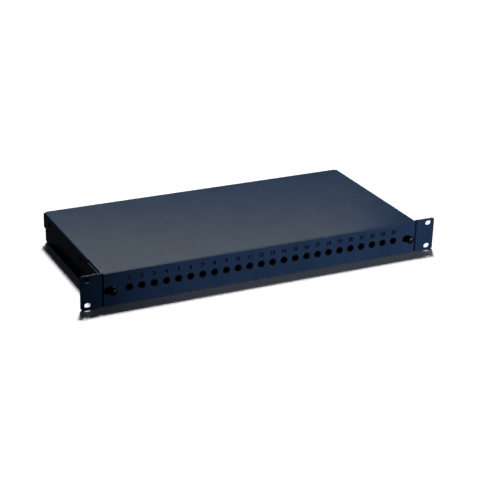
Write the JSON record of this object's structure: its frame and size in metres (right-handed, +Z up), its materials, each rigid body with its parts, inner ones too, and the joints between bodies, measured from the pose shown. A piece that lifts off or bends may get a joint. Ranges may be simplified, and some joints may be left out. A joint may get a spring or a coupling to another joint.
{
  "type": "sliding rack patch bay",
  "caption": "Low rack-mount patch bay: a painted steel case between two rack ears, with a sliding drawer front that carries a row of numbered jack sockets and a plunger latch at each end.",
  "frame": {"origin": "centre of the overall box at the base plane the case stands on", "axes": "+X to the right seen from the front, +Y from the front panel to the rear wall, +Z up"},
  "size_m": [0.4826, 0.241, 0.0436],
  "materials": {
    "case_paint": "satin powder coat, dark navy black",
    "panel_paint": "satin powder coat, dark navy black",
    "tray_paint": "matt powder coat, black",
    "screw_black": "black zinc",
    "slide_steel": "bright zinc plate",
    "cage_nylon": "natural nylon",
    "gland_nylon": "moulded nylon, black",
    "latch_nylon": "glossy nylon, black",
    "earth_brass": "plain brass",
    "circuit_board": "green solder mask",
    "terminal_plastic": "moulded, green",
    "jack_plastic": "moulded, black",
    "marking_ink": "printed numerals, near black"
  },
  "bodies": {
    "case": {"chassis_base": "case_paint", "top_cover": "case_paint", "rack_ear_left": "case_paint", "rack_ear_right": "case_paint", "ear_screw_left_lower": "screw_black", "ear_screw_left_upper": "screw_black", "ear_screw_right_lower": "screw_black", "ear_screw_right_upper": "screw_black", "cover_screw_left_front": "screw_black", "cover_screw_left_rear": "screw_black", "cover_screw_right_front": "screw_black", "cover_screw_right_rear": "screw_black", "slide_bracket_left": "slide_steel", "slide_bracket_right": "slide_steel", "slide_outer_left": "slide_steel", "slide_outer_right": "slide_steel", "cable_gland_left": "gland_nylon", "cable_gland_right": "gland_nylon", "gland_nut_left": "gland_nylon", "gland_nut_right": "gland_nylon", "earth_screw": "earth_brass"},
    "ball_cage_left": {"slide_cage_left": "cage_nylon"},
    "ball_cage_right": {"slide_cage_right": "cage_nylon"},
    "drawer": {"front_panel": "panel_paint", "drawer_tray": "tray_paint", "slide_inner_left": "slide_steel", "slide_inner_right": "slide_steel", "jack_board_left": "circuit_board", "jack_board_right": "circuit_board", "terminal_block_left": "terminal_plastic", "terminal_block_right": "terminal_plastic", "lacing_bar": "slide_steel", "latch_grommet_left": "latch_nylon", "latch_grommet_right": "latch_nylon", "jack_socket_01": "jack_plastic", "jack_socket_02": "jack_plastic", "jack_socket_03": "jack_plastic", "jack_socket_04": "jack_plastic", "jack_socket_05": "jack_plastic", "jack_socket_06": "jack_plastic", "jack_socket_07": "jack_plastic", "jack_socket_08": "jack_plastic", "jack_socket_09": "jack_plastic", "jack_socket_10": "jack_plastic", "jack_socket_11": "jack_plastic", "jack_socket_12": "jack_plastic", "jack_socket_13": "jack_plastic", "jack_socket_14": "jack_plastic", "jack_socket_15": "jack_plastic", "jack_socket_16": "jack_plastic", "jack_socket_17": "jack_plastic", "jack_socket_18": "jack_plastic", "jack_socket_19": "jack_plastic", "jack_socket_20": "jack_plastic", "jack_socket_21": "jack_plastic", "jack_socket_22": "jack_plastic", "jack_socket_23": "jack_plastic", "jack_socket_24": "jack_plastic"},
    "latch_left": {"latch_plunger_left": "latch_nylon"},
    "latch_right": {"latch_plunger_right": "latch_nylon"}
  },
  "joints": [
    {"name": "drawer_slide", "type": "slide", "parent": "case", "child": "drawer", "axis": [0, -1, 0], "range_m": [0, 0.12]},
    {"name": "ball_cage_left_slide", "type": "slide", "parent": "case", "child": "ball_cage_left", "axis": [0, -1, 0], "range_m": [0, 0.06]},
    {"name": "ball_cage_right_slide", "type": "slide", "parent": "case", "child": "ball_cage_right", "axis": [0, -1, 0], "range_m": [0, 0.06]},
    {"name": "latch_left_pull", "type": "slide", "parent": "drawer", "child": "latch_left", "axis": [0, -1, 0], "range_m": [0, 0.006]},
    {"name": "latch_right_pull", "type": "slide", "parent": "drawer", "child": "latch_right", "axis": [0, -1, 0], "range_m": [0, 0.006]}
  ],
  "couplings": [
    {"joint": "ball_cage_left_slide", "follows": "drawer_slide", "ratio": 0.5},
    {"joint": "ball_cage_right_slide", "follows": "drawer_slide", "ratio": 0.5}
  ]
}
